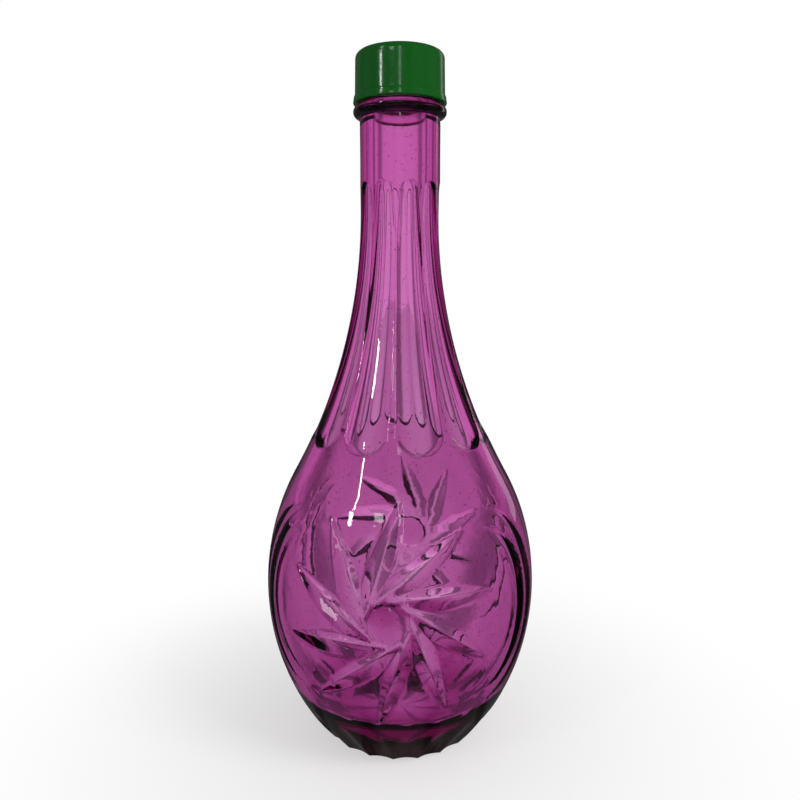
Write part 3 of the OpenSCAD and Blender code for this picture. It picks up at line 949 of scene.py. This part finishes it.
def makeFloor():
    # plain pale floor; away from the bottle it runs into the white of the background, and near the bottle
    # half of that white glow is still painted over it, lightening the bottle's shadow
    material, tree, where = newMaterial("paleFloor")
    pale = addNode(tree, "ShaderNodeBsdfPrincipled", {
        "Base Color": studio["whitePaint"], "Roughness": 0.9, "Specular IOR Level": 0.1})
    away = addNode(tree, "ShaderNodeVectorMath", [where], operation="LENGTH")["Value"]
    glow = addNode(tree, "ShaderNodeMapRange", {
        "Value": away, "From Min": studio["nearFloor"], "From Max": studio["farFloor"],
        "To Min": studio["nearPaintedGlow"]}, interpolation_type="SMOOTHSTEP")["Result"]
    # painted light: through the glass and in reflections the floor shows strips of light and grey gaps, laid
    # out by direction round the bottle, instead of its own lit shade
    panels = addNode(tree, "ShaderNodeMath", [
        panelLight(tree, where), studio["floorPaintedPanels"]], operation="MULTIPLY")[0]
    strength, path, share = pathStrength(tree, panels)
    # painted light: seen through the glass, the floor under and behind the bottle glows white instead of
    # lying in the bottle's shadow, standing in for light that would come through the purple glass
    under = addNode(tree, "ShaderNodeMath", [glow, studio["paintedGlowUnderGlass"]], operation="MAXIMUM")[0]
    for level, ray in ((under, "Is Transmission Ray"), (glow, "Is Camera Ray")):
        part = addNode(tree, "ShaderNodeMath", [level, path[ray]], operation="MULTIPLY")[0]
        share = addNode(tree, "ShaderNodeMath", [share, part], operation="MAXIMUM")[0]
    white = addNode(tree, "ShaderNodeEmission", {"Color": (1, 1, 1, 1), "Strength": strength})
    mix = addNode(tree, "ShaderNodeMixShader", [share, pale["BSDF"], white["Emission"]])
    addNode(tree, "ShaderNodeOutputMaterial", {"Surface": mix["Shader"]})
    mesh = bpy.data.meshes.new("floor")
    half = studio["floorHalf"]
    corners = [(-half, -half, 0), (half, -half, 0), (half, half, 0), (-half, half, 0)]
    mesh.from_pydata(corners, [], [(0, 1, 2, 3)])
    mesh.materials.append(material)
    floor = bpy.data.objects.new("floor", mesh)
    bpy.context.scene.collection.objects.link(floor)


def makeWorld():
    # an even soft light on the object, and the white room with its panels for what is seen or mirrored
    world = bpy.data.worlds.new("studio")
    bpy.context.scene.world = world
    world.use_nodes = True
    tree = world.node_tree
    tree.nodes.clear()
    direction = addNode(tree, "ShaderNodeTexCoord")["Generated"]
    up = addNode(tree, "ShaderNodeSeparateXYZ", [direction])["Z"]
    high = addNode(tree, "ShaderNodeMapRange", {
        "Value": up, "From Min": studio["ceilingFrom"], "From Max": studio["ceilingTo"], "To Min": 1.0,
        "To Max": studio["ceiling"]}, interpolation_type="SMOOTHSTEP")["Result"]
    panels = addNode(tree, "ShaderNodeMath", [panelLight(tree, direction), high], operation="MULTIPLY")[0]
    strength, path, _ = pathStrength(tree, panels)
    seen = path["Is Camera Ray"]
    for ray in ("Is Glossy Ray", "Is Transmission Ray"):
        seen = addNode(tree, "ShaderNodeMath", [seen, path[ray]], operation="MAXIMUM")[0]
    soft, white = (addNode(tree, "ShaderNodeBackground", {
        "Color": (1, 1, 1, 1), "Strength": level})[0] for level in (studio["softLevel"], strength))
    mix = addNode(tree, "ShaderNodeMixShader", [seen, soft, white])
    addNode(tree, "ShaderNodeOutputWorld", {"Surface": mix[0]})


lamps = {  # place in metres, size in metres, power in watts, and whether reflections show the lamp
    "lowWindow": ((-0.76, -0.79, 0.565), (0.075, 0.1), 0.55, True),
    "highWindow": ((-0.76, -0.8, 0.835), (0.03, 0.25), 0.8, True),
    "frontLamp": ((0.09, -1.1, 0.66), (0.09, 0.42), 0.35, True),
    "leftSheen": ((-0.31, -1.09, 0.71), (0.2, 0.08), 0.3, True),
    "rightRim": ((0.75, 0.8, 0.3), (0.2, 1.0), 0.45, True),
    "fillLamp": ((0.9, -0.5, 0.9), (0.5, 0.5), 8.0, False),
}


def makeLamps():
    # panes of light that are not seen themselves; all but one show in the object's reflections
    for name, (spot, size, power, mirrored) in lamps.items():
        data = bpy.data.lights.new(name, "AREA")
        data.shape = "RECTANGLE"
        data.size, data.size_y = size
        data.energy = power
        lamp = bpy.data.objects.new(name, data)
        lamp.location = spot
        aim = Vector((0, 0, studio["aimZ"])) - Vector(spot)
        lamp.rotation_euler = aim.to_track_quat("-Z", "Y").to_euler()
        lamp.visible_glossy = mirrored
        lamp.visible_camera = lamp.visible_transmission = False
        bpy.context.scene.collection.objects.link(lamp)


print("studio: camera, floor and light")
makeCamera()
makeFloor()
makeWorld()
makeLamps()
bpy.context.scene.view_settings.view_transform = "Standard"
